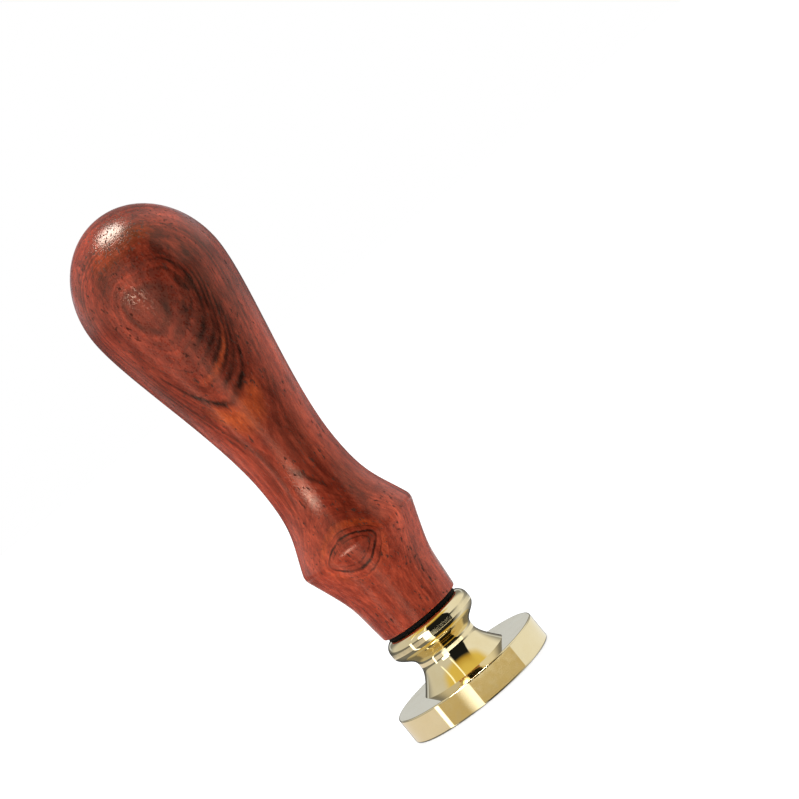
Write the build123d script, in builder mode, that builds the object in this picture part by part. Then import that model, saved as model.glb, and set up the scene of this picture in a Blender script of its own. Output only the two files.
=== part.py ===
# Wax seal stamp: a turned wooden handle that screws on a polished brass head.
# Millimetres. +Z runs up the stamp from the seal face, and the origin is the centre of that face.
import os
from math import cos, radians, sin, tan

from build123d import *

os.makedirs("parts", exist_ok=True)

# Seal disc
DISC_RADIUS = 12.5
DISC_THICKNESS = 4.2
DISC_EDGE = 0.2
SPIGOT_RADIUS = 3.2
SPIGOT_HEIGHT = 2.6
SPIGOT_CHAMFER = 0.3

# Engraving in the seal face, from the rim inwards
ENGRAVE_DEPTH = 0.6
RIM_LAND = 1.25
BORDER_WIDTH = 0.5
PEARL_GAP = 0.55
PEARL_RADIUS = 0.4
PEARL_COUNT = 36
PETAL_GAP = 0.9
PETAL_WIDTH = 2.4
PETAL_COUNT = 8
SEED_INSET = 1.9
SEED_RADIUS = 0.5
EYE_GAP = 0.8
EYE_RADIUS = 1.1

# Neck, from its foot up
FOOT_RADIUS = 7.3
FOOT_HEIGHT = 3.9
FOOT_LEAN = 1.0
FOOT_PULL = 1.2
NECK_WAIST_RADIUS = 4.98
NECK_WAIST_LENGTH = 0.6
NECK_WAIST_PULL_DOWN = 1.1
NECK_WAIST_PULL_UP = 1.4
COVE_HEIGHT = 3.1
BEAD_RADIUS = 7.32
BEAD_LENGTH = 0.7
BEAD_PULL = 1.4
BEAD_ROUND = 1.5
NECK_WEB = 1.2

# Stud, and the thread that it shares with the insert
SHANK_RADIUS = 3.1
THREAD_RADIUS = 2.95
THREAD_PITCH = 1.0
THREAD_CLEARANCE = 0.12
FLANK_STEPS = 4
STUD_REACH = 8.0
STUD_CHAMFER = 0.5

# Washer
WASHER_RADIUS = 6.1
WASHER_THICKNESS = 0.7
WASHER_CLEARANCE = 0.3
WASHER_EDGE = 0.1

# Insert
INSERT_WALL = 1.13
INSERT_LENGTH = 8.5
INSERT_RECESS = 0.3
INSERT_CHAMFER = 0.4
KNURL_COUNT = 16
KNURL_RADIUS = 0.4
GROOVE_WIDTH = 1.4
GROOVE_DEPTH = 0.6

# Handle, from its flat end up
END_RADIUS = 6.7
END_ROUND = 0.3
END_LEAN = 6.5
END_PULL = 7.2
RIDGE_RADIUS = 10.15
RIDGE_HEIGHT = 14.5
RIDGE_LEAN = 20.7
RIDGE_PULL_DOWN = 9.5
RIDGE_PULL_UP = 5.7
RIDGE_ROUND = 2.0
WAIST_RADIUS = 6.74
RIDGE_TO_WAIST = 14.0
WAIST_PULL_DOWN = 7.7
WAIST_PULL_UP = 10.2
KNOB_RADIUS = 11.8
WAIST_TO_KNOB = 32.8
KNOB_PULL = 7.2
DOME_HEIGHT = 13.6
DOME_FULLNESS = 0.5523
PILOT_CLEARANCE = 0.35
PILOT_SPARE = 1.8
DRILL_POINT_ANGLE = 118.0

# Fits
PRESS_FIT = 0.02
SOCKET_SPARE = 0.2

# Stations up the axis
neck_base = DISC_THICKNESS
neck_waist_start = neck_base + FOOT_HEIGHT
neck_waist_end = neck_waist_start + NECK_WAIST_LENGTH
bead_start = neck_waist_end + COVE_HEIGHT
bead_end = bead_start + BEAD_LENGTH
neck_top = bead_end + BEAD_ROUND
handle_base = neck_top + WASHER_THICKNESS
spigot_socket_depth = SPIGOT_HEIGHT + SOCKET_SPARE
stud_base = neck_base + spigot_socket_depth + NECK_WEB
stud_tip = neck_top + STUD_REACH
insert_base = handle_base + INSERT_RECESS
insert_top = insert_base + INSERT_LENGTH
insert_middle = insert_base + INSERT_LENGTH / 2
pilot_end = max(insert_top, stud_tip) + PILOT_SPARE

# Radii that follow the thread
stud_envelope = THREAD_RADIUS + THREAD_CLEARANCE
insert_radius = stud_envelope + INSERT_WALL
pilot_radius = THREAD_RADIUS + PILOT_CLEARANCE

# Metric thread form: 60 degree flanks, a crest of an eighth of the pitch,
# and a depth of five eighths of the sharp form
thread_root = THREAD_RADIUS - THREAD_PITCH * cos(radians(30)) * 5 / 8


def flank_half_width(radius):
    """Half the height of the thread's ridge at a radius."""
    return THREAD_PITCH / 16 + (THREAD_RADIUS - radius) * tan(radians(30))


def on_circle(radius, angle):
    """A point at a radius and an angle in degrees."""
    return (radius * cos(radians(angle)), radius * sin(radians(angle)))


def threaded_rod(height, clearance):
    """A right-hand thread up from the neck's top: a section, grown by a clearance, turned as it rises."""
    root = thread_root + clearance
    crest = THREAD_RADIUS + clearance
    root_angle = 360 * (flank_half_width(root) + clearance) / THREAD_PITCH
    crest_angle = 360 * (flank_half_width(crest) + clearance) / THREAD_PITCH
    steps = [k / FLANK_STEPS for k in range(FLANK_STEPS + 1)]
    flank = [(crest + (root - crest) * t, crest_angle + (root_angle - crest_angle) * t) for t in steps]
    with BuildSketch(Plane.XY.offset(neck_top)) as section:
        with BuildLine():
            ThreePointArc(on_circle(crest, -crest_angle), on_circle(crest, 0), on_circle(crest, crest_angle))
            Spline(*[on_circle(radius, angle) for radius, angle in flank])
            ThreePointArc(on_circle(root, root_angle), on_circle(root, 180), on_circle(root, -root_angle))
            Spline(*[on_circle(radius, -angle) for radius, angle in flank])
        make_face()
    face = section.sketch.face()
    turn = 360 * height / THREAD_PITCH
    return Solid.extrude_linear_with_rotation(face, (0, 0, neck_top), (0, 0, height), turn)


# Seal disc
border_outer = DISC_RADIUS - RIM_LAND
border_inner = border_outer - BORDER_WIDTH
pearl_ring = border_inner - PEARL_GAP - PEARL_RADIUS
petal_tip = pearl_ring - PEARL_RADIUS - PETAL_GAP
petal_root = EYE_RADIUS + EYE_GAP
petal_middle = (petal_root + petal_tip) / 2

with BuildSketch() as petal:
    with BuildLine():
        ThreePointArc((petal_root, 0), (petal_middle, PETAL_WIDTH / 2), (petal_tip, 0))
        ThreePointArc((petal_tip, 0), (petal_middle, -PETAL_WIDTH / 2), (petal_root, 0))
    make_face()

with BuildPart() as seal_disc:
    with BuildSketch():
        Circle(DISC_RADIUS)
    extrude(amount=DISC_THICKNESS)
    chamfer(seal_disc.edges().filter_by(GeomType.CIRCLE), DISC_EDGE)
    with BuildSketch(Plane.XY.offset(DISC_THICKNESS)):
        Circle(SPIGOT_RADIUS)
    extrude(amount=SPIGOT_HEIGHT)
    chamfer(seal_disc.edges().sort_by(Axis.Z)[-1], SPIGOT_CHAMFER)
    with BuildSketch():
        Circle(border_outer)
        Circle(border_inner, mode=Mode.SUBTRACT)
        with PolarLocations(pearl_ring, PEARL_COUNT):
            Circle(PEARL_RADIUS)
        with PolarLocations(0, PETAL_COUNT):
            add(petal.sketch)
        with PolarLocations(petal_tip - SEED_INSET, PETAL_COUNT, start_angle=180 / PETAL_COUNT):
            Circle(SEED_RADIUS)
        Circle(EYE_RADIUS)
    extrude(amount=ENGRAVE_DEPTH, mode=Mode.SUBTRACT)
seal_disc.part.label = "seal_disc"
export_step(seal_disc.part, "parts/seal_disc.step")

# Neck
with BuildPart() as neck:
    with BuildSketch(Plane.XZ):
        with BuildLine():
            foot = (FOOT_RADIUS, neck_base)
            waist_start = (NECK_WAIST_RADIUS, neck_waist_start)
            waist_end = (NECK_WAIST_RADIUS, neck_waist_end)
            bead_foot = (BEAD_RADIUS, bead_start)
            bead_shoulder = (BEAD_RADIUS, bead_end)
            crown = (BEAD_RADIUS - BEAD_ROUND, neck_top)
            Line((0, neck_base), foot)
            Bezier(
                foot,
                (FOOT_RADIUS - FOOT_LEAN, neck_base + FOOT_PULL),
                (NECK_WAIST_RADIUS, neck_waist_start - NECK_WAIST_PULL_DOWN),
                waist_start,
            )
            Line(waist_start, waist_end)
            Bezier(
                waist_end,
                (NECK_WAIST_RADIUS, neck_waist_end + NECK_WAIST_PULL_UP),
                (BEAD_RADIUS, bead_start - BEAD_PULL),
                bead_foot,
            )
            Line(bead_foot, bead_shoulder)
            RadiusArc(bead_shoulder, crown, -BEAD_ROUND)
            Polyline(crown, (0, neck_top), (0, neck_base))
        make_face()
    revolve(axis=Axis.Z)
    with Locations((0, 0, neck_base)):
        Cylinder(
            SPIGOT_RADIUS + PRESS_FIT,
            spigot_socket_depth,
            align=(Align.CENTER, Align.CENTER, Align.MIN),
            mode=Mode.SUBTRACT,
        )
    with Locations((0, 0, stud_base)):
        Cylinder(
            SHANK_RADIUS + PRESS_FIT,
            neck_top - stud_base,
            align=(Align.CENTER, Align.CENTER, Align.MIN),
            mode=Mode.SUBTRACT,
        )
neck.part.label = "neck"
export_step(neck.part, "parts/neck.step")

# Stud
with BuildPart() as stud:
    add(threaded_rod(STUD_REACH, 0))
    with BuildSketch(Plane.XZ):
        with BuildLine():
            Polyline(
                (0, neck_top),
                (stud_envelope, neck_top),
                (stud_envelope, stud_tip - STUD_CHAMFER),
                (stud_envelope - STUD_CHAMFER, stud_tip),
                (0, stud_tip),
                close=True,
            )
        make_face()
    revolve(axis=Axis.Z, mode=Mode.INTERSECT)
    with BuildSketch(Plane.XZ):
        with BuildLine():
            Polyline(
                (0, stud_base),
                (SHANK_RADIUS - STUD_CHAMFER, stud_base),
                (SHANK_RADIUS, stud_base + STUD_CHAMFER),
                (SHANK_RADIUS, neck_top),
                (0, neck_top),
                close=True,
            )
        make_face()
    revolve(axis=Axis.Z)
stud.part.label = "stud"
export_step(stud.part, "parts/stud.step")

# Washer
with BuildPart() as washer:
    with BuildSketch(Plane.XY.offset(neck_top)):
        Circle(WASHER_RADIUS)
        Circle(THREAD_RADIUS + WASHER_CLEARANCE, mode=Mode.SUBTRACT)
    extrude(amount=WASHER_THICKNESS)
    chamfer(washer.edges().filter_by(GeomType.CIRCLE).group_by(SortBy.RADIUS)[-1], WASHER_EDGE)
washer.part.label = "washer"
export_step(washer.part, "parts/washer.step")

# Threaded insert
with BuildPart() as threaded_insert:
    groove_radius = insert_radius - GROOVE_DEPTH
    groove_start = insert_middle - GROOVE_WIDTH / 2
    groove_end = insert_middle + GROOVE_WIDTH / 2
    with BuildSketch(Plane.XZ):
        with BuildLine():
            Polyline(
                (0, insert_base),
                (insert_radius, insert_base),
                (insert_radius, groove_start),
                (groove_radius, groove_start),
                (groove_radius, groove_end),
                (insert_radius, groove_end),
                (insert_radius, insert_top - INSERT_CHAMFER),
                (insert_radius - INSERT_CHAMFER, insert_top),
                (0, insert_top),
                close=True,
            )
        make_face()
    revolve(axis=Axis.Z)
    add(threaded_rod(insert_top + THREAD_PITCH - neck_top, THREAD_CLEARANCE), mode=Mode.SUBTRACT)
    with BuildSketch(Plane.XY.offset(insert_base)):
        with PolarLocations(insert_radius, KNURL_COUNT):
            RegularPolygon(KNURL_RADIUS, 4)
    extrude(amount=INSERT_LENGTH, mode=Mode.SUBTRACT)
threaded_insert.part.label = "threaded_insert"
export_step(threaded_insert.part, "parts/threaded_insert.step")

# Handle
with BuildPart() as handle:
    ridge_station = handle_base + RIDGE_HEIGHT
    with BuildSketch(Plane.XZ):
        with BuildLine():
            end_inner = (END_RADIUS - END_ROUND, handle_base)
            end = (END_RADIUS, handle_base + END_ROUND)
            ridge = (RIDGE_RADIUS, ridge_station)
            waist = (WAIST_RADIUS, ridge_station + RIDGE_TO_WAIST)
            knob = (KNOB_RADIUS, waist[1] + WAIST_TO_KNOB)
            top = knob[1] + DOME_HEIGHT
            end_out = END_PULL * sin(radians(END_LEAN))
            end_up = END_PULL * cos(radians(END_LEAN))
            ridge_in = sin(radians(RIDGE_LEAN))
            ridge_along = cos(radians(RIDGE_LEAN))
            Polyline((0, top), (0, handle_base), end_inner)
            RadiusArc(end_inner, end, -END_ROUND)
            Bezier(
                end,
                (end[0] + end_out, end[1] + end_up),
                (ridge[0] - RIDGE_PULL_DOWN * ridge_in, ridge[1] - RIDGE_PULL_DOWN * ridge_along),
                ridge,
            )
            Bezier(
                ridge,
                (ridge[0] - RIDGE_PULL_UP * ridge_in, ridge[1] + RIDGE_PULL_UP * ridge_along),
                (waist[0], waist[1] - WAIST_PULL_DOWN),
                waist,
            )
            Bezier(
                waist,
                (waist[0], waist[1] + WAIST_PULL_UP),
                (knob[0], knob[1] - KNOB_PULL),
                knob,
            )
            Bezier(
                knob,
                (knob[0], knob[1] + DOME_HEIGHT * DOME_FULLNESS),
                (knob[0] * DOME_FULLNESS, top),
                (0, top),
            )
        make_face()
    revolve(axis=Axis.Z)
    circles = handle.edges().filter_by(GeomType.CIRCLE)
    fillet(circles.sort_by_distance((RIDGE_RADIUS, 0, ridge_station))[0], RIDGE_ROUND)
    with Locations((0, 0, handle_base)):
        Cylinder(
            insert_radius + PRESS_FIT,
            insert_top - handle_base,
            align=(Align.CENTER, Align.CENTER, Align.MIN),
            mode=Mode.SUBTRACT,
        )
    with BuildSketch(Plane.XZ):
        with BuildLine():
            Polyline(
                (0, insert_base),
                (pilot_radius, insert_base),
                (pilot_radius, pilot_end),
                (0, pilot_end + pilot_radius / tan(radians(DRILL_POINT_ANGLE / 2))),
                close=True,
            )
        make_face()
    revolve(axis=Axis.Z, mode=Mode.SUBTRACT)
handle.part.label = "handle"
export_step(handle.part, "parts/handle.step")
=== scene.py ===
"""Wax seal stamp: turned rosewood handle, black washer, polished brass neck and engraved disc.

Metres, in the CAD frame: +Z runs up the stamp from the seal face, and the camera looks along +Y.
"""
from math import cos, degrees, hypot, pi, radians, sin, sqrt, tan

import bpy
from mathutils import Matrix, Vector


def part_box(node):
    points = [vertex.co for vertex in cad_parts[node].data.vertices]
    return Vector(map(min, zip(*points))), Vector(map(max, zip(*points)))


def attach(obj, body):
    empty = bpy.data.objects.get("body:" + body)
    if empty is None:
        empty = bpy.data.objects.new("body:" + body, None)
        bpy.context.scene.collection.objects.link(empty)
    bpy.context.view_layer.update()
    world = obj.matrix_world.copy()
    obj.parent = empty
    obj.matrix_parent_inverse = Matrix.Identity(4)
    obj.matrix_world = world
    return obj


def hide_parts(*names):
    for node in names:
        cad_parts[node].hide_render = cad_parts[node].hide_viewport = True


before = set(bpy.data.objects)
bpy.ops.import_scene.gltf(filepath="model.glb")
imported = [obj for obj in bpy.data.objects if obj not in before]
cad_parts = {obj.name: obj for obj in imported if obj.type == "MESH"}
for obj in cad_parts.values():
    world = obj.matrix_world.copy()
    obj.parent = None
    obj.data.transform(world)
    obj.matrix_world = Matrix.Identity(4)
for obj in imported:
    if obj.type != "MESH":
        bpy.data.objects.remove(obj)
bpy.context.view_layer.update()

MM = 0.001

# Stations up the axis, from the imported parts
disc_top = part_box("neck")[0].z
neck_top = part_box("neck")[1].z
handle_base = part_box("handle")[0].z
handle_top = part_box("handle")[1].z
insert_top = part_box("threaded_insert")[1].z
stud_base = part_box("stud")[0].z
stud_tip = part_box("stud")[1].z
spigot_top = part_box("seal_disc")[1].z

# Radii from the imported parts
disc_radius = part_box("seal_disc")[1].x
washer_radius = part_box("washer")[1].x

# Seal disc
DISC_EDGE = 0.2 * MM
SPIGOT_RADIUS = 3.2 * MM

# Engraving, from the rim inwards
ENGRAVE_DEPTH = 0.6 * MM
RIM_LAND = 1.25 * MM
BORDER_WIDTH = 0.5 * MM
PEARL_GAP = 0.55 * MM
PEARL_RADIUS = 0.4 * MM
PEARL_COUNT = 36
PETAL_GAP = 0.9 * MM
PETAL_WIDTH = 2.4 * MM
PETAL_COUNT = 8
SEED_INSET = 1.9 * MM
SEED_RADIUS = 0.5 * MM
EYE_GAP = 0.8 * MM
EYE_RADIUS = 1.1 * MM
CUT_SLOPE = 1.6

# Neck
FOOT_RADIUS = 7.3 * MM
FOOT_HEIGHT = 3.9 * MM
FOOT_LEAN = 1.0 * MM
FOOT_PULL = 1.2 * MM
NECK_WAIST_RADIUS = 4.98 * MM
NECK_WAIST_LENGTH = 0.6 * MM
NECK_WAIST_PULL_DOWN = 1.1 * MM
NECK_WAIST_PULL_UP = 1.4 * MM
COVE_HEIGHT = 3.1 * MM
BEAD_RADIUS = 7.32 * MM
BEAD_PULL = 1.4 * MM
BEAD_ROUND = 1.5 * MM
NECK_WEB = 1.2 * MM
PRESS_FIT = 0.02 * MM

# Stud and washer
SHANK_RADIUS = 3.1 * MM
THREAD_RADIUS = 2.95 * MM
THREAD_PITCH = 1.0 * MM
STUD_CHAMFER = 0.5 * MM
WASHER_CLEARANCE = 0.3 * MM
WASHER_ROUND = 0.18 * MM

# Handle
END_RADIUS = 6.7 * MM
END_ROUND = 0.3 * MM
END_LEAN = radians(6.5)
END_PULL = 7.2 * MM
RIDGE_RADIUS = 10.15 * MM
RIDGE_HEIGHT = 14.5 * MM
RIDGE_LEAN = radians(20.7)
RIDGE_PULL_DOWN = 9.5 * MM
RIDGE_PULL_UP = 5.7 * MM
RIDGE_ROUND = 2.0 * MM
WAIST_RADIUS = 6.74 * MM
RIDGE_TO_WAIST = 14.0 * MM
WAIST_PULL_DOWN = 7.7 * MM
WAIST_PULL_UP = 10.2 * MM
KNOB_RADIUS = 11.8 * MM
WAIST_TO_KNOB = 32.8 * MM
KNOB_PULL = 7.2 * MM
DOME_FULLNESS = 0.5523
PILOT_RADIUS = 3.3 * MM
PILOT_SPARE = 1.8 * MM
DRILL_HALF_ANGLE = radians(59)
INSERT_RADIUS = 4.2 * MM

# Fineness of the meshes: segments round the axis, then steps along the outline
HANDLE_SEGMENTS = 192
NECK_SEGMENTS = 256
PEARL_SEGMENTS = 16
STUD_SEGMENTS = 96
WASHER_SEGMENTS = 128
HANDLE_STEPS = 48
KNOB_STEPS = 72
RIDGE_STEPS = 12
NECK_STEPS = 40
BEAD_STEPS = 24
BAND_STEPS = 6
DISC_STEPS = 16
FACE_STEPS = 122
THREAD_STEPS = 200
EDGE_STEPS = 6
WASHER_STEPS = 5
THREAD_SHARP_ANGLE = 50

# Camera, solved from the photograph's outline, in a frame of 799 x 799 pixels
FRAME_PIXELS = 799
FOCAL_PIXELS = 2440.24
SENSOR_WIDTH = 36.0
CAMERA_PLACE = Vector((0.0, -0.360, 0.0658))
CAMERA_YAW = 0.049071
CAMERA_PITCH = -0.068674
CAMERA_ROLL = -0.683864

# Curves of an outline, each a list of (radius, height) points


def bezier(start, pull_out, pull_in, end, steps):
    """Points of a cubic curve after its start, up to its end."""
    points = []
    for k in range(1, steps + 1):
        t = k / steps
        s = 1 - t
        weights = (s ** 3, 3 * s * s * t, 3 * s * t * t, t ** 3)
        points.append(tuple(
            sum(w * p[axis] for w, p in zip(weights, (start, pull_out, pull_in, end))) for axis in (0, 1)
        ))
    return points


def arc(centre, radius, first, last, steps):
    """Points of a circular arc, from the first angle to the last, in degrees from outwards."""
    angles = [radians(first + (last - first) * k / steps) for k in range(steps + 1)]
    return [(centre[0] + radius * cos(a), centre[1] + radius * sin(a)) for a in angles]


def straight(start, end, steps):
    """Points of a straight run after its start, up to its end."""
    return [
        tuple(a + (b - a) * k / steps for a, b in zip(start, end)) for k in range(1, steps + 1)
    ]


def held(start, end, steps):
    """A straight run whose points gather at its ends, so that the shading stays flat between them."""
    shares = [(1 - cos(pi * k / steps)) / 2 for k in range(1, steps + 1)]
    return [tuple(a + (b - a) * share for a, b in zip(start, end)) for share in shares]


# Meshes


def new_piece(name, vertices, faces, sharp_angle=35):
    """A smooth-shaded mesh object with its edges sharp above an angle in degrees."""
    mesh = bpy.data.meshes.new(name)
    mesh.from_pydata(vertices, [], faces)
    mesh.polygons.foreach_set("use_smooth", [True] * len(mesh.polygons))
    mesh.set_sharp_from_angle(angle=radians(sharp_angle))
    mesh.validate()
    piece = bpy.data.objects.new(name, mesh)
    bpy.context.scene.collection.objects.link(piece)
    return piece


def turned(name, outline, segments, shape=None, sharp_angle=35):
    """Turns an outline, from axis to axis, about Z. shape(radius, angle, z) may move each point."""
    vertices = []
    rings = []
    for radius, z in outline:
        if radius < 1e-9:
            rings.append([len(vertices)])
            vertices.append((0.0, 0.0, z))
            continue
        rings.append(list(range(len(vertices), len(vertices) + segments)))
        for k in range(segments):
            angle = 2 * pi * k / segments
            r, h = (radius, z) if shape is None else shape(radius, angle, z)
            vertices.append((r * cos(angle), r * sin(angle), h))
    faces = []
    for lower, upper in zip(rings, rings[1:]):
        for k in range(segments):
            n = (k + 1) % segments
            if len(lower) == 1:
                faces.append((lower[0], upper[n], upper[k]))
            elif len(upper) == 1:
                faces.append((lower[k], lower[n], upper[0]))
            else:
                faces.append((lower[k], lower[n], upper[n], upper[k]))
    return new_piece(name, vertices, faces, sharp_angle)


# Shader nodes


class Shader:
    """Adds nodes to one material or world and joins them up."""

    def __init__(self, owner):
        owner.use_nodes = True
        self.tree = owner.node_tree
        self.tree.nodes.clear()

    def feed(self, socket, value):
        if isinstance(value, bpy.types.NodeSocket):
            self.tree.links.new(value, socket)
        else:
            socket.default_value = value

    def node(self, kind, inputs, **settings):
        made = self.tree.nodes.new(kind)
        for name, value in settings.items():
            setattr(made, name, value)
        for key, value in inputs.items():
            self.feed(made.inputs[key], value)
        return made

    def math(self, operation, *values):
        return self.node("ShaderNodeMath", dict(enumerate(values)), operation=operation).outputs[0]

    def vector(self, operation, *values):
        made = self.node("ShaderNodeVectorMath", dict(enumerate(values)), operation=operation)
        return made.outputs["Value" if operation in ("DOT_PRODUCT", "LENGTH") else "Vector"]

    def scaled(self, vector, factors):
        return self.vector("MULTIPLY", vector, factors)

    def remap(self, value, low, high, new_low=0.0, new_high=1.0):
        """A smooth step from new_low at low to new_high at high."""
        inputs = {"Value": value, "From Min": low, "From Max": high, "To Min": new_low, "To Max": new_high}
        return self.node("ShaderNodeMapRange", inputs, interpolation_type="SMOOTHSTEP").outputs["Result"]

    def window(self, value, low, high, soft):
        """1 between low and high, 0 outside, with soft edges."""
        rise = self.remap(value, low - soft, low + soft)
        fall = self.remap(value, high - soft, high + soft, 1.0, 0.0)
        return self.math("MULTIPLY", rise, fall)

    def noise(self, vector, detail=2.0, roughness=0.5, output="Fac"):
        inputs = {"Vector": vector, "Scale": 1.0, "Detail": detail, "Roughness": roughness}
        return self.node("ShaderNodeTexNoise", inputs).outputs[output]

    def noise_line(self, value, detail=2.0, roughness=0.5):
        """Noise along one number."""
        inputs = {"W": value, "Scale": 1.0, "Detail": detail, "Roughness": roughness}
        return self.node("ShaderNodeTexNoise", inputs, noise_dimensions="1D").outputs["Fac"]

    def mix(self, factor, first, second, blend="MIX"):
        inputs = {0: factor, 6: first, 7: second}
        return self.node("ShaderNodeMix", inputs, data_type="RGBA", blend_type=blend).outputs[2]

    def ramp(self, value, stops):
        made = self.node("ShaderNodeValToRGB", {"Fac": value})
        ramp = made.color_ramp
        while len(ramp.elements) < len(stops):
            ramp.elements.new(0.5)
        for element, (place, colour) in zip(ramp.elements, stops):
            element.position = place
            element.color = (*colour, 1.0)
        return made.outputs["Color"]

    def bump(self, height, strength, distance):
        inputs = {"Height": height, "Strength": strength, "Distance": distance}
        return self.node("ShaderNodeBump", inputs).outputs["Normal"]

    def millimetres(self):
        """Places on the piece, in millimetres, which stay with it when it moves."""
        place = self.node("ShaderNodeTexCoord", {}).outputs["Object"]
        return self.scaled(place, (1 / MM,) * 3)

    def finish(self, **inputs):
        """The Principled surface with these inputs, by their names with _ for a space."""
        named = {name.replace("_", " "): value for name, value in inputs.items()}
        surface = self.node("ShaderNodeBsdfPrincipled", named)
        self.node("ShaderNodeOutputMaterial", {"Surface": surface.outputs[0]})


def new_material(name):
    material = bpy.data.materials.new(name)
    return material, Shader(material)


# Materials

# The growth layers lie square to this direction, which faces the camera and a little to its left
LAYER_NORMAL = Vector((-0.19, -0.98, -0.05)).normalized()
WOOD_DARK = (0.085, 0.0120, 0.0050)
WOOD_BROWN = (0.190, 0.0235, 0.0105)
WOOD_RED = (0.325, 0.0395, 0.0175)
WOOD_ORANGE = (0.480, 0.0600, 0.0240)
WOOD_VEIN = (0.012, 0.0035, 0.0024)
WOOD_PORE = (0.034, 0.0045, 0.0022)
WOOD_FLAME = (0.440, 0.0640, 0.0120)
WOOD_TONES = [(0.30, WOOD_DARK), (0.42, WOOD_BROWN), (0.53, WOOD_RED), (0.70, WOOD_ORANGE)]

# How fast each noise changes across the grain and along it, to a millimetre
SLOW_BEND_RATE = (0.050, 0.050, 0.018)
QUICK_BEND_RATE = (0.40, 0.40, 0.07)
BLOTCH_RATE = (0.24, 0.24, 0.075)
STAIN_AND_SHADE_RATE = (0.42, 0.42, 0.24)
PATCH_RATE = (0.55, 0.55, 0.22)
FIBRE_RATE = (4.0, 4.0, 0.12)
STRAND_RATE = (1.3, 1.3, 0.05)
MOTTLE_RATE = (1.1, 1.1, 0.40)
CLUSTER_RATE = (0.35, 0.35, 0.10)
PORE_RATE = (2.9, 2.9, 0.95)
SPOT_RATE = (3.4, 3.4, 2.8)
WIDE_LINE_RATE = 0.9
NARROW_LINE_RATE = 3.4

# How far the noises bend the layers, in millimetres, and how the layers bow on the knob
SLOW_BEND = 0.8
QUICK_BEND = 0.4
BOW_SPREAD = 0.205
BOW_TILT = 0.115
BOW_ROUND = 2.0

# Heights in millimetres between which a mark comes, goes or lies
BOW_Z = (44, 58)
DARKENS_Z = (46, 72)
# Painted shade on the left flank lies between these heights
LEFT_FLANK_SHADE_Z = (35, 60)
# The darker band and its knob patches, partly painted shade, lie between these heights
HEART_AND_SHADE_WIDENS_Z = (50, 70)
HEART_AND_SHADE_Z = (24, 32)
STAIN_AND_SHADE_Z = (70, 84)
DOME_Z = (80, 86)
WORN_Z = (58, 66)

# The darkest and the lightest shade that a noise lends to the colour
FIBRE_SHADES = ((0.87, 0.84, 0.84), (1.13, 1.16, 1.16))
STRAND_SHADES = ((0.80, 0.76, 0.76), (1.20, 1.24, 1.24))
MOTTLE_SHADES = ((0.74, 0.64, 0.64), (1.22, 1.32, 1.32))

LACQUER_ROUGHNESS = 0.18
LACQUER_LEVEL = 0.45
LACQUER_TINT = (1.0, 0.82, 0.62, 1.0)

# Stretches of one layer: depth and half thickness, strength, then the reach in z and in x
DARK_LAYERS = [
    (5.58, 0.10, 0.95, 53, 66, -8.0, 6.0),
    (5.88, 0.07, 0.85, 56, 70, -1.5, 6.5),
    (6.12, 0.06, 0.75, 57, 73, 0.0, 7.0),
    (6.40, 0.07, 0.80, 58, 75, -1.0, 7.0),
    (6.62, 0.06, 0.70, 59, 78, 0.3, 7.5),
    (6.90, 0.07, 0.80, 60, 80, -0.5, 7.5),
    (7.30, 0.06, 0.65, 62, 81, 0.5, 7.5),
    (7.72, 0.07, 0.90, 23, 36, -6.0, 5.0),
    (8.05, 0.05, 0.65, 25, 34, -5.0, 3.0),
    (7.32, 0.05, 0.60, 23, 36, -3.0, 6.0),
    (4.58, 0.08, 0.75, 38, 50, -2.0, 2.5),
]
ORANGE_LAYERS = [
    (5.10, 0.32, 0.90, 51, 58, -5.0, 2.5),
    (6.25, 0.10, 0.50, 60, 66, -3.0, 4.0),
    (7.00, 0.25, 0.50, 26, 36, -6.0, 3.0),
]


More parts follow.
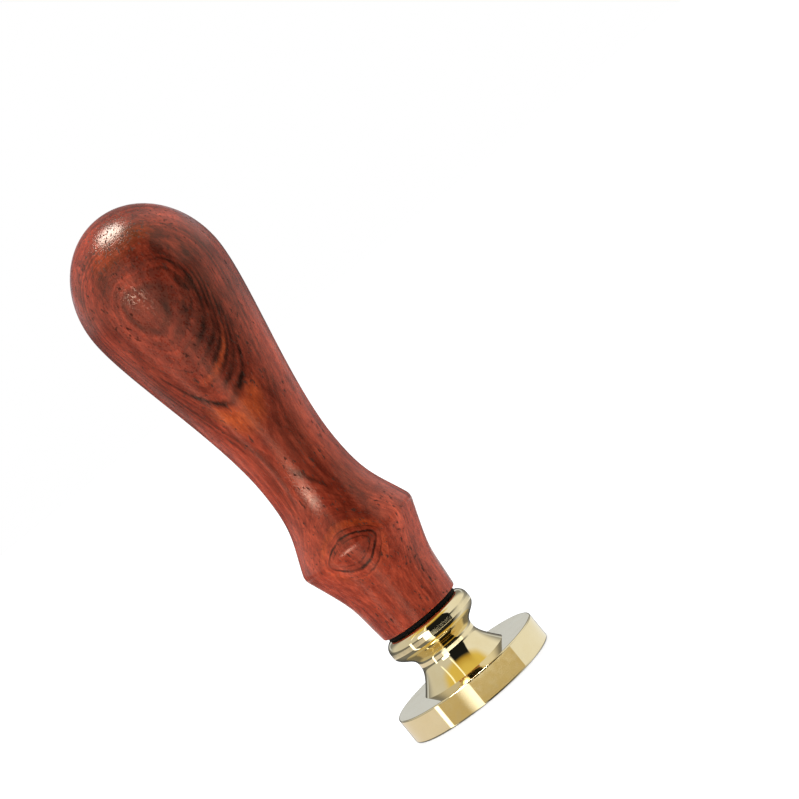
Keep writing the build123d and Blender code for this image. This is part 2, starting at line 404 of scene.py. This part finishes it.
def rosewood():
    material, shader = new_material("rosewood_lacquered")
    place = shader.millimetres()
    x, _, z = shader.node("ShaderNodeSeparateXYZ", {0: place}).outputs

    def grain(rate, detail=2.0, roughness=0.5, output="Fac"):
        """Noise in the wood, at a rate."""
        return shader.noise(shader.scaled(place, rate), detail, roughness, output)

    def sway(noise, reach):
        """A colour noise as a shift of up to half the reach, each way."""
        return shader.scaled(shader.vector("SUBTRACT", noise, (0.5, 0.5, 0.5)), (reach, reach, reach))

    def times(first, second):
        return shader.math("MULTIPLY", first, second)

    def blend(*shares):
        """The sum of values, each times its share."""
        total = 0.0
        for value, share in shares:
            total = shader.math("MULTIPLY_ADD", value, share, total)
        return total

    # Growth layers: nearly flat sheets, bent a little by slow and quick noise
    slow = grain(SLOW_BEND_RATE, 1.0, 0.5, "Color")
    quick = grain(QUICK_BEND_RATE, 3.0, 0.6, "Color")
    bend = shader.vector("ADD", sway(slow, SLOW_BEND), sway(quick, QUICK_BEND))

    # On the knob the layers bow round the axis
    out = shader.math("SQRT", shader.math("MULTIPLY_ADD", x, x, BOW_ROUND ** 2))
    bow = blend((out, BOW_SPREAD), (x, BOW_TILT), (1.0, -BOW_SPREAD * BOW_ROUND))
    bow = times(bow, shader.remap(z, *BOW_Z))
    layer = shader.vector("DOT_PRODUCT", shader.vector("ADD", place, bend), tuple(LAYER_NORMAL))
    layer = shader.math("ADD", layer, bow)

    # Colour: soft blotches along the grain, lines across the layers, darker towards the knob, and painted
    # shade on the left flank
    blotch = grain(BLOTCH_RATE, 3.0, 0.6)
    wide = shader.noise_line(times(layer, WIDE_LINE_RATE), 1.0)
    narrow = shader.noise_line(times(layer, NARROW_LINE_RATE), 3.0, 0.65)
    along = shader.remap(z, *DARKENS_Z, 0.060, -0.050)
    # Painted shade: the left flank is darkened between these heights
    left_flank_shade = times(shader.remap(x, -6.5, -3.5, 1.0, 0.0), shader.window(z, *LEFT_FLANK_SHADE_Z, 4.0))
    tone = blend((blotch, 0.46), (wide, 0.20), (narrow, 0.34), (along, 1.0), (left_flank_shade, -0.055))
    colour = shader.ramp(tone, WOOD_TONES)

    # A darker band runs up the right of the front. It is partly darker heartwood and partly painted shade
    # where the front faces the dark opening, and on the knob it holds darker patches that are partly stains
    # and partly painted shade
    heart_and_shade_x = times(x, shader.remap(z, *HEART_AND_SHADE_WIDENS_Z, 1.0, 0.62))
    heart_and_shade_edge = blend((heart_and_shade_x, 1.0), (blotch, 6.0))
    heart_and_shade = times(shader.window(heart_and_shade_edge, 2.6, 7.8, 1.6), shader.remap(z, *HEART_AND_SHADE_Z, 0.25, 1.0))
    colour = shader.mix(times(heart_and_shade, 0.55), colour, (*WOOD_DARK, 1.0))
    # Darker patches in the band on the knob: partly stains, partly painted shade
    stain_and_shade = shader.remap(grain(STAIN_AND_SHADE_RATE, 3.0, 0.65), 0.50, 0.60)
    stain_and_shade = times(times(stain_and_shade, heart_and_shade), shader.window(z, *STAIN_AND_SHADE_Z, 3.0))
    colour = shader.mix(times(stain_and_shade, 0.55), colour, (*WOOD_VEIN, 1.0))

    def streak(depth, half, strength, low, high, left, right):
        """How much of a stretch of one layer there is at a place."""
        sheet = shader.window(layer, depth - half, depth + half, half)
        reach = times(shader.window(z, low, high, 2.5), shader.window(x, left, right, 1.5))
        return times(times(sheet, reach), strength)

    patch = shader.remap(grain(PATCH_RATE, 3.0, 0.6), 0.36, 0.58, 0.45, 1.0)
    for stretch in ORANGE_LAYERS:
        colour = shader.mix(streak(*stretch), colour, (*WOOD_FLAME, 1.0))
    for stretch in DARK_LAYERS:
        colour = shader.mix(times(streak(*stretch), patch), colour, (*WOOD_VEIN, 1.0))

    # Fibres run up the grain
    fibre = grain(FIBRE_RATE, 2.0, 0.55)
    strand = grain(STRAND_RATE)
    mottle = grain(MOTTLE_RATE, 4.0, 0.65)
    for value, (dark, light) in (
        (fibre, FIBRE_SHADES),
        (strand, STRAND_SHADES),
        (mottle, MOTTLE_SHADES),
    ):
        colour = shader.mix(1.0, colour, shader.ramp(value, [(0.34, dark), (0.66, light)]), "MULTIPLY")

    # Pores lie in clusters, and all over the dome, where the grain ends
    cluster = shader.remap(grain(CLUSTER_RATE), 0.40, 0.60, 0.15, 0.85)
    pore = shader.math("ADD", grain(PORE_RATE, 1.0, 0.4), shader.remap(z, *DOME_Z, 0.0, 0.04))
    pore = shader.remap(pore, 0.63, 0.69)
    pore = times(pore, shader.math("MAXIMUM", cluster, shader.remap(z, *DOME_Z, 0.0, 0.8)))
    colour = shader.mix(pore, colour, (*WOOD_PORE, 1.0))

    # Lacquer that sinks into the pores and is worn dull on the knob's front, but for small spots
    worn = times(shader.remap(layer, 5.8, 7.4), shader.window(x, -9.0, 2.0, 3.0))
    worn = times(worn, shader.remap(z, *WORN_Z))
    spot = shader.remap(grain(SPOT_RATE, 1.0), 0.50, 0.62)
    dull = times(worn, shader.math("SUBTRACT", 1.0, spot))
    height = blend((fibre, 0.20), (mottle, 0.20), (spot, 0.16), (pore, -0.25))
    shader.finish(
        Base_Color=colour,
        Roughness=blend((fibre, 0.08), (pore, 0.60), (dull, 0.34), (1.0, LACQUER_ROUGHNESS)),
        Specular_IOR_Level=LACQUER_LEVEL,
        Specular_Tint=LACQUER_TINT,
        Normal=shader.bump(height, 0.60, 0.00006),
    )
    return material


BRASS = (0.84, 0.735, 0.475)
BRASS_DEEP = (0.81, 0.69, 0.42)
MACHINED_PALE = (0.72, 0.56, 0.28)
MACHINED_DEEP = (0.58, 0.42, 0.18)
STEEL_PALE = (0.68, 0.68, 0.66)
STEEL_DEEP = (0.50, 0.51, 0.54)
RUBBER_PALE = (0.0065, 0.0052, 0.0046)
RUBBER_DEEP = (0.0020, 0.0016, 0.0015)


def polished_brass():
    material, shader = new_material("brass_polished")
    place = shader.millimetres()
    cloud = shader.noise(shader.scaled(place, (0.22, 0.22, 0.22)), 3.0, 0.6)
    colour = shader.ramp(cloud, [(0.35, BRASS_DEEP), (0.65, BRASS)])
    haze = shader.noise(shader.scaled(place, (0.9, 0.9, 0.9)), 4.0, 0.65)
    roughness = shader.remap(haze, 0.35, 0.75, 0.035, 0.075)

    # Polishing lines run round the axis
    parts = shader.node("ShaderNodeSeparateXYZ", {0: place}).outputs
    across = shader.math("SQRT", shader.math(
        "ADD", shader.math("MULTIPLY", parts[0], parts[0]), shader.math("MULTIPLY", parts[1], parts[1])
    ))
    lines = shader.noise_line(shader.math("MULTIPLY", shader.math("ADD", across, parts[2]), 9.0), 2.0, 0.6)
    shader.finish(
        Base_Color=colour,
        Metallic=1.0,
        Roughness=roughness,
        Normal=shader.bump(lines, 0.004, 0.00001),
    )
    return material


def machined_brass():
    material, shader = new_material("brass_machined")
    place = shader.millimetres()
    cloud = shader.noise(shader.scaled(place, (0.6, 0.6, 0.6)), 3.0, 0.6)
    colour = shader.ramp(cloud, [(0.3, MACHINED_DEEP), (0.7, MACHINED_PALE)])
    scratch = shader.noise(shader.scaled(place, (1.5, 1.5, 14.0)), 3.0, 0.6)
    shader.finish(
        Base_Color=colour,
        Metallic=1.0,
        Roughness=shader.remap(scratch, 0.3, 0.7, 0.22, 0.40),
        Normal=shader.bump(scratch, 0.2, 0.00003),
    )
    return material


def plated_steel():
    material, shader = new_material("steel_zinc_plated")
    place = shader.millimetres()
    cloud = shader.noise(shader.scaled(place, (0.5, 0.5, 0.5)), 3.0, 0.6)
    colour = shader.ramp(cloud, [(0.3, STEEL_DEEP), (0.7, STEEL_PALE)])
    grain = shader.noise(shader.scaled(place, (6.0, 6.0, 6.0)), 3.0, 0.6)
    shader.finish(
        Base_Color=colour,
        Metallic=1.0,
        Roughness=shader.remap(grain, 0.3, 0.7, 0.20, 0.36),
        Normal=shader.bump(grain, 0.15, 0.00003),
    )
    return material


def black_rubber():
    material, shader = new_material("rubber_black")
    place = shader.millimetres()
    grain = shader.noise(shader.scaled(place, (5.0, 5.0, 5.0)), 4.0, 0.7)
    colour = shader.ramp(grain, [(0.3, RUBBER_DEEP), (0.7, RUBBER_PALE)])
    shader.finish(
        Base_Color=colour,
        Roughness=shader.remap(grain, 0.3, 0.7, 0.60, 0.80),
        Specular_IOR_Level=0.10,
        Normal=shader.bump(grain, 0.3, 0.00005),
    )
    return material


# Pieces


def make_handle():
    ridge_z = handle_base + RIDGE_HEIGHT
    ridge = (RIDGE_RADIUS, ridge_z)
    waist = (WAIST_RADIUS, ridge_z + RIDGE_TO_WAIST)
    knob = (KNOB_RADIUS, waist[1] + WAIST_TO_KNOB)
    end = (END_RADIUS, handle_base + END_ROUND)
    dome = handle_top - knob[1]
    pilot_end = insert_top + PILOT_SPARE
    socket = INSERT_RADIUS + PRESS_FIT
    outline = [
        (0.0, pilot_end + PILOT_RADIUS / tan(DRILL_HALF_ANGLE)),
        (PILOT_RADIUS, pilot_end),
        (PILOT_RADIUS, insert_top),
        (socket, insert_top),
        (socket, handle_base),
    ]
    outline += arc((END_RADIUS - END_ROUND, end[1]), END_ROUND, -90, 0, EDGE_STEPS)
    below = bezier(
        end,
        (end[0] + END_PULL * sin(END_LEAN), end[1] + END_PULL * cos(END_LEAN)),
        (ridge[0] - RIDGE_PULL_DOWN * sin(RIDGE_LEAN), ridge_z - RIDGE_PULL_DOWN * cos(RIDGE_LEAN)),
        ridge,
        HANDLE_STEPS,
    )
    above = bezier(
        ridge,
        (ridge[0] - RIDGE_PULL_UP * sin(RIDGE_LEAN), ridge_z + RIDGE_PULL_UP * cos(RIDGE_LEAN)),
        (waist[0], waist[1] - WAIST_PULL_DOWN),
        waist,
        HANDLE_STEPS,
    )
    # The ridge is sanded round between the two curves
    round_reach = RIDGE_ROUND * sin(RIDGE_LEAN)
    round_centre = (RIDGE_RADIUS - RIDGE_ROUND / cos(RIDGE_LEAN), ridge_z)
    outline += [p for p in below if ridge_z - p[1] > round_reach]
    outline += arc(round_centre, RIDGE_ROUND, -degrees(RIDGE_LEAN), degrees(RIDGE_LEAN), RIDGE_STEPS)
    outline += [p for p in above if p[1] - ridge_z > round_reach]
    outline += bezier(
        waist,
        (waist[0], waist[1] + WAIST_PULL_UP),
        (knob[0], knob[1] - KNOB_PULL),
        knob,
        KNOB_STEPS,
    )
    outline += bezier(
        knob,
        (knob[0], knob[1] + dome * DOME_FULLNESS),
        (knob[0] * DOME_FULLNESS, handle_top),
        (0.0, handle_top),
        HANDLE_STEPS,
    )
    piece = turned("handle_turned", outline, HANDLE_SEGMENTS)
    piece.data.materials.append(rosewood())
    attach(piece, "handle")
    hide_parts("handle")


def make_neck(brass):
    waist_start = disc_top + FOOT_HEIGHT
    waist_end = waist_start + NECK_WAIST_LENGTH
    bead_start = waist_end + COVE_HEIGHT
    bead_end = neck_top - BEAD_ROUND
    socket = SPIGOT_RADIUS + PRESS_FIT
    socket_top = stud_base - NECK_WEB
    bore = SHANK_RADIUS + PRESS_FIT
    outline = [(0.0, socket_top), (socket, socket_top), (socket, disc_top), (FOOT_RADIUS, disc_top)]
    outline += bezier(
        outline[-1],
        (FOOT_RADIUS - FOOT_LEAN, disc_top + FOOT_PULL),
        (NECK_WAIST_RADIUS, waist_start - NECK_WAIST_PULL_DOWN),
        (NECK_WAIST_RADIUS, waist_start),
        NECK_STEPS,
    )
    outline += held((NECK_WAIST_RADIUS, waist_start), (NECK_WAIST_RADIUS, waist_end), BAND_STEPS)
    outline += bezier(
        (NECK_WAIST_RADIUS, waist_end),
        (NECK_WAIST_RADIUS, waist_end + NECK_WAIST_PULL_UP),
        (BEAD_RADIUS, bead_start - BEAD_PULL),
        (BEAD_RADIUS, bead_start),
        NECK_STEPS,
    )
    outline += held((BEAD_RADIUS, bead_start), (BEAD_RADIUS, bead_end), BAND_STEPS)
    outline += arc((BEAD_RADIUS - BEAD_ROUND, bead_end), BEAD_ROUND, 0, 90, BEAD_STEPS)[1:]
    outline += [(bore, neck_top), (bore, stud_base), (0.0, stud_base)]
    piece = turned("neck_polished", outline, NECK_SEGMENTS)
    piece.data.materials.append(brass)
    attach(piece, "head")
    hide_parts("neck")


border_outer = disc_radius - RIM_LAND
border_inner = border_outer - BORDER_WIDTH
pearl_ring = border_inner - PEARL_GAP - PEARL_RADIUS
petal_tip = pearl_ring - PEARL_RADIUS - PETAL_GAP
petal_root = EYE_RADIUS + EYE_GAP


def cut(inset):
    """Depth of a cut with sloping walls, at a distance inside its edge."""
    return min(max(inset, 0.0) * CUT_SLOPE, ENGRAVE_DEPTH)


def fold(angle, count, start=0.0):
    """The angle from the nearest of evenly spaced places, in radians."""
    step = 2 * pi / count
    return (angle - start + step / 2) % step - step / 2


def petal_inset(radius, angle):
    """Distance inside the two arcs of a petal that lies along angle 0."""
    half_length = (petal_tip - petal_root) / 2
    half_width = PETAL_WIDTH / 2
    arc_radius = (half_length ** 2 + half_width ** 2) / (2 * half_width)
    along = radius * cos(angle) - (petal_root + petal_tip) / 2
    aside = abs(radius * sin(angle)) + arc_radius - half_width
    return arc_radius - hypot(along, aside)


def engraving(radius, angle):
    """Depth of the rosette at a place on the seal face."""
    border = cut(min(radius - border_inner, border_outer - radius))
    pearl_angle = fold(angle, PEARL_COUNT)
    pearl_away = hypot(radius * cos(pearl_angle) - pearl_ring, radius * sin(pearl_angle))
    pearl = sqrt(max(PEARL_RADIUS ** 2 - pearl_away ** 2, 0.0))
    petal = cut(petal_inset(radius, fold(angle, PETAL_COUNT)))
    seed_angle = fold(angle, PETAL_COUNT, pi / PETAL_COUNT)
    seed_away = hypot(radius * cos(seed_angle) - petal_tip + SEED_INSET, radius * sin(seed_angle))
    seed = sqrt(max(SEED_RADIUS ** 2 - seed_away ** 2, 0.0))
    eye = cut(EYE_RADIUS - radius)
    return max(border, pearl, petal, seed, eye)


def make_seal_disc(brass):
    face_edge = disc_radius - DISC_EDGE
    outline = [(0.0, 0.0)]
    outline += straight((0.0, 0.0), (face_edge, 0.0), FACE_STEPS)
    outline += arc((face_edge, DISC_EDGE), DISC_EDGE, -90, 0, EDGE_STEPS)[1:]
    outline += held((disc_radius, DISC_EDGE), (disc_radius, disc_top - DISC_EDGE), DISC_STEPS)
    outline += arc((face_edge, disc_top - DISC_EDGE), DISC_EDGE, 0, 90, EDGE_STEPS)[1:]
    outline += held((face_edge, disc_top), (SPIGOT_RADIUS, disc_top), DISC_STEPS)
    outline += [(SPIGOT_RADIUS, spigot_top), (0.0, spigot_top)]

    def engraved(radius, angle, z):
        return radius, (engraving(radius, angle) if z < DISC_EDGE / 10 else z)

    piece = turned("seal_disc_engraved", outline, PEARL_COUNT * PEARL_SEGMENTS, engraved)
    piece.data.vertices[0].co.z = engraving(0.0, 0.0)
    piece.data.materials.append(brass)
    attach(piece, "head")
    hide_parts("seal_disc")


def make_stud():
    crest_half = THREAD_PITCH / 16
    root = THREAD_RADIUS - THREAD_PITCH * cos(radians(30)) * 5 / 8

    def threaded(radius, angle, z):
        if z <= neck_top or z >= stud_tip:
            return radius, z
        turns = (z - neck_top) / THREAD_PITCH - angle / (2 * pi)
        away = abs((turns + 0.5) % 1 - 0.5) * THREAD_PITCH
        ridge = THREAD_RADIUS - max(away - crest_half, 0.0) / tan(radians(30))
        tip_limit = THREAD_RADIUS - max(z - stud_tip + STUD_CHAMFER, 0.0)
        return min(max(ridge, root), tip_limit), z

    outline = [
        (0.0, stud_base),
        (SHANK_RADIUS - STUD_CHAMFER, stud_base),
        (SHANK_RADIUS, stud_base + STUD_CHAMFER),
        (SHANK_RADIUS, neck_top),
        (root, neck_top),
    ]
    outline += straight((root, neck_top), (root, stud_tip - 0.01 * MM), THREAD_STEPS)
    outline += [(THREAD_RADIUS - STUD_CHAMFER, stud_tip), (0.0, stud_tip)]
    piece = turned("stud_threaded", outline, STUD_SEGMENTS, threaded, THREAD_SHARP_ANGLE)
    piece.data.materials.append(plated_steel())
    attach(piece, "head")
    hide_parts("stud")


def make_washer():
    inner = THREAD_RADIUS + WASHER_CLEARANCE
    outer = washer_radius - WASHER_ROUND
    outline = [(inner, neck_top + WASHER_ROUND), (inner, neck_top)]
    outline += arc((outer, neck_top + WASHER_ROUND), WASHER_ROUND, -90, 0, WASHER_STEPS)
    outline += arc((outer, handle_base - WASHER_ROUND), WASHER_ROUND, 0, 90, WASHER_STEPS)
    outline += [(inner, handle_base), (inner, neck_top + WASHER_ROUND)]
    piece = turned("washer_black", outline, WASHER_SEGMENTS)
    piece.data.materials.append(black_rubber())
    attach(piece, "washer")
    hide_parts("washer")


def dress_insert():
    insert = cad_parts["threaded_insert"]
    insert.data.materials.clear()
    insert.data.materials.append(machined_brass())


# Studio

SIDES = (1.08, 1.08, 1.08)
TENT_LEFT = (0.72, 0.71, 0.68)
TENT_RIGHT = (0.95, 0.95, 0.93)
RIM_LEFT = (0.86, 0.80, 0.75)
REAR = (0.26, 0.26, 0.26)
DARK_EDGE = (0.04, 0.04, 0.035)
BACKDROP = (0.66, 0.70, 0.76)
CEILING = (0.82, 0.62, 0.15)
CEILING_DEEP = (0.52, 0.33, 0.05)
OPENING = (0.012, 0.013, 0.014)
TABLE = (0.62, 0.50, 0.27)
PAPER = (1.9, 1.9, 1.8)
STRIP = (3.6, 3.6, 3.6)
CORE = (7.5, 7.5, 7.5)
HOT = (18.0, 18.0, 18.0)
GLEAM = (1.5, 1.5, 1.3)
RIM_LIGHT = (1.7, 1.7, 1.65)
GAP_LIGHT = (2.4, 2.4, 2.4)

# Patches, each over the ones before it. A patch is a colour, its turn from and to, its lift
# from and to, and the softness of its edges in turn and in lift, all in degrees
SOFT_OPENING = (OPENING, -24, 62, -30, 62, 10.0, 10.0)
TENT_PATCHES = [
    (CEILING, -92, 88, 50, 78, 14.0, 8.0),
    (CEILING_DEEP, -20, 52, 48, 62, 16.0, 7.0),
    (OPENING, -14, 53, -8.0, 54, 1.5, 5.0),
    (OPENING, -14, 53, -9.07, 30, 1.5, 0.05),
    (TABLE, -66, 69, -11.2, -9.75, 0.6, 0.15),
    (PAPER, -14, 62, -9.75, -9.07, 3.0, 0.05),
]
LIGHT_PATCHES = [
    (STRIP, -30, -11, -9.0, 16, 2.0, 0.6),
    (CORE, -41, -18, 2, 20, 3.0, 3.0),
    (HOT, -35, -23, 5, 14, 2.0, 2.0),
    (GLEAM, -23, -17.5, 34, 74, 1.0, 6.0),
    (GAP_LIGHT, -70, -63.5, -45, 10, 1.0, 1.0),
    (GLEAM, -67.5, -63, 34, 64, 1.0, 6.0),
]

# Level of the tent near the horizon and below it, by turn
LOW_TENT = [
    (-180, 0.04), (-150, 0.13), (-120, 0.22), (-30, 0.20), (-14, 0.02), (53, 0.02),
    (72, 0.45), (90, 0.90), (110, 0.75), (130, 0.45), (150, 0.26), (180, 0.04),
]

# Degrees between which one part of the tent passes into another
LEFT_TO_RIGHT = (-30, 30)
RIM_LIFT = (-11.2, -8.5)
REAR_ASIDE = (125, 156)
REAR_LIFT = (60, 80)
LOW_LIFT = (2.0, 5.5)
EDGE_ASIDE = (163, 173)
EDGE_LIFT = (-30, 7.5)
BACKDROP_ASIDE = (135, 150)
BACKDROP_LIFT = (8.8, 14.0)
RIM_LIGHT_COMES = (-35, -13)
RIM_LIGHT_GOES = (-10.2, -9.0)
RIM_LIGHT_LIFT = (-9.7, -9.0)


def make_world():
    """A white tent that is open and dark towards the camera. Reflections also show the lights in it."""
    world = bpy.data.worlds.new("studio")
    bpy.context.scene.world = world
    shader = Shader(world)
    ray = shader.node("ShaderNodeTexCoord", {}).outputs["Generated"]
    x, y, z = shader.node("ShaderNodeSeparateXYZ", {0: ray}).outputs
    # Degrees round from the camera's side towards +X, and degrees above the floor
    turn = shader.math("DEGREES", shader.math("ARCTAN2", x, shader.math("MULTIPLY", y, -1.0)))
    lift = shader.math("DEGREES", shader.math("ARCSINE", z))
    aside = shader.math("ABSOLUTE", turn)

    def times(first, second):
        return shader.math("MULTIPLY", first, second)

    def patch(behind, colour, left, right, low, high, soft_turn, soft_lift):
        """What is behind, with a patch over it."""
        inside = times(shader.window(turn, left, right, soft_turn), shader.window(lift, low, high, soft_lift))
        return shader.mix(inside, behind, (*colour, 1.0))

    # Light on matte surfaces
    soft_light = patch((*SIDES, 1.0), *SOFT_OPENING)

    # The tent in reflections: dimmer on the left and behind, with its own level beside the disc's rim
    level = shader.window(lift, *RIM_LIFT, 0.15)
    off_level = shader.math("SUBTRACT", 1.0, level)
    to_right = shader.remap(turn, *LEFT_TO_RIGHT)
    tent = shader.mix(to_right, (*TENT_LEFT, 1.0), (*TENT_RIGHT, 1.0))
    fading = times(shader.remap(aside, *REAR_ASIDE), shader.remap(lift, *REAR_LIFT, 1.0, 0.0))
    tent = shader.mix(fading, tent, (*REAR, 1.0))
    rim_side = shader.mix(to_right, (*RIM_LEFT, 1.0), (*TENT_RIGHT, 1.0))
    tent = shader.mix(level, tent, rim_side)

    # Near the horizon and below it, the light falls off away from the right
    round_share = shader.math("MULTIPLY_ADD", turn, 1 / 360, 0.5)
    low_stops = [((degree + 180) / 360, (share, share, share)) for degree, share in LOW_TENT]
    low = times(off_level, shader.remap(lift, *LOW_LIFT, 1.0, 0.0))
    tent = shader.mix(low, tent, shader.ramp(round_share, low_stops))

    # Right behind: a dark edge low down, and the backdrop above it
    edge = times(shader.remap(aside, *EDGE_ASIDE), shader.window(lift, *EDGE_LIFT, 1.0))
    tent = shader.mix(edge, tent, (*DARK_EDGE, 1.0))
    backdrop = times(shader.remap(aside, *BACKDROP_ASIDE), shader.window(lift, *BACKDROP_LIFT, 0.6))
    tent = shader.mix(backdrop, tent, (*BACKDROP, 1.0))

    # The ceiling, the opening, the table and the lights
    for part in TENT_PATCHES:
        tent = patch(tent, *part)
    rim_light = times(shader.remap(turn, *RIM_LIGHT_COMES), shader.remap(turn, *RIM_LIGHT_GOES, 1.0, 0.0))
    rim_light = times(rim_light, shader.remap(lift, *RIM_LIGHT_LIFT, 1.0, 0.0))
    tent = shader.mix(rim_light, tent, (*RIM_LIGHT, 1.0))
    for part in LIGHT_PATCHES:
        tent = patch(tent, *part)
    path = shader.node("ShaderNodeLightPath", {}).outputs
    light = shader.mix(path["Is Glossy Ray"], soft_light, tent)
    sky = shader.mix(path["Is Camera Ray"], light, (1.0, 1.0, 1.0, 1.0))
    background = shader.node("ShaderNodeBackground", {"Color": sky, "Strength": 1.0})
    shader.node("ShaderNodeOutputWorld", {"Surface": background.outputs[0]})


FLOOR_HALF = 4.0
FLOOR_GAP = 0.00005
FLOOR_GREY = (0.80, 0.80, 0.80)
FLOOR_NEAR = 100
FLOOR_FAR = 600
FLOOR_GLOW_NEAR = 0.56
FLOOR_GLOW_FAR = 0.74
FLOOR_SHADE = (0.40, 0.40, 0.40)


def make_floor():
    """A pale floor that the camera sees as white, with the object's shadow still on it."""
    corners = [(-1, -1), (1, -1), (1, 1), (-1, 1)]
    vertices = [(a * FLOOR_HALF, b * FLOOR_HALF, -FLOOR_GAP) for a, b in corners]
    floor = new_piece("floor", vertices, [(0, 1, 2, 3)])
    material, shader = new_material("floor_pale")
    seen = shader.node("ShaderNodeLightPath", {}).outputs["Is Camera Ray"]
    grey = shader.mix(seen, (*FLOOR_GREY, 1.0), (*FLOOR_SHADE, 1.0))
    matte = shader.node("ShaderNodeBsdfDiffuse", {"Color": grey})
    away = shader.vector("LENGTH", shader.millimetres())
    evened = shader.remap(away, FLOOR_NEAR, FLOOR_FAR, FLOOR_GLOW_NEAR, FLOOR_GLOW_FAR)
    glow = shader.node("ShaderNodeEmission", {"Strength": shader.math("MULTIPLY", seen, evened)})
    both = shader.node("ShaderNodeAddShader", {0: matte.outputs[0], 1: glow.outputs[0]})
    # Nothing hides the seal face from below
    below = shader.node("ShaderNodeNewGeometry", {}).outputs["Backfacing"]
    clear = shader.node("ShaderNodeBsdfTransparent", {})
    surface = shader.node("ShaderNodeMixShader", {0: below, 1: both.outputs[0], 2: clear.outputs[0]})
    shader.node("ShaderNodeOutputMaterial", {"Surface": surface.outputs[0]})
    floor.data.materials.append(material)
    floor.visible_glossy = False


LAMP_SIZE = (0.34, 0.25)
LAMP_POWER = 5.4
LAMP_PLACE = (0.0, 0.05, 0.75)


def make_lamp():
    """A small soft lamp overhead."""
    lamp = bpy.data.lights.new("overhead", "AREA")
    lamp.shape = "ELLIPSE"
    lamp.size, lamp.size_y = LAMP_SIZE
    lamp.energy = LAMP_POWER
    holder = bpy.data.objects.new("overhead", lamp)
    holder.location = LAMP_PLACE
    holder.visible_camera = False
    bpy.context.scene.collection.objects.link(holder)


def make_camera():
    ahead = Vector((
        sin(CAMERA_YAW) * cos(CAMERA_PITCH), cos(CAMERA_YAW) * cos(CAMERA_PITCH), sin(CAMERA_PITCH)
    ))
    level = Vector((cos(CAMERA_YAW), -sin(CAMERA_YAW), 0.0))
    above = level.cross(ahead)
    right = cos(CAMERA_ROLL) * level + sin(CAMERA_ROLL) * above
    up = right.cross(ahead)
    camera = bpy.data.cameras.new("camera")
    camera.sensor_width = SENSOR_WIDTH
    camera.lens = SENSOR_WIDTH * FOCAL_PIXELS / FRAME_PIXELS
    camera.clip_start = 0.01
    camera.clip_end = 50.0
    holder = bpy.data.objects.new("camera", camera)
    facing = Matrix((right, up, -ahead)).transposed().to_4x4()
    holder.matrix_world = Matrix.Translation(CAMERA_PLACE) @ facing
    bpy.context.scene.collection.objects.link(holder)
    bpy.context.scene.camera = holder


brass_finish = polished_brass()
make_handle()
make_neck(brass_finish)
make_seal_disc(brass_finish)
make_stud()
make_washer()
dress_insert()
make_world()
make_floor()
make_lamp()
make_camera()
bpy.context.scene.view_settings.view_transform = "Standard"
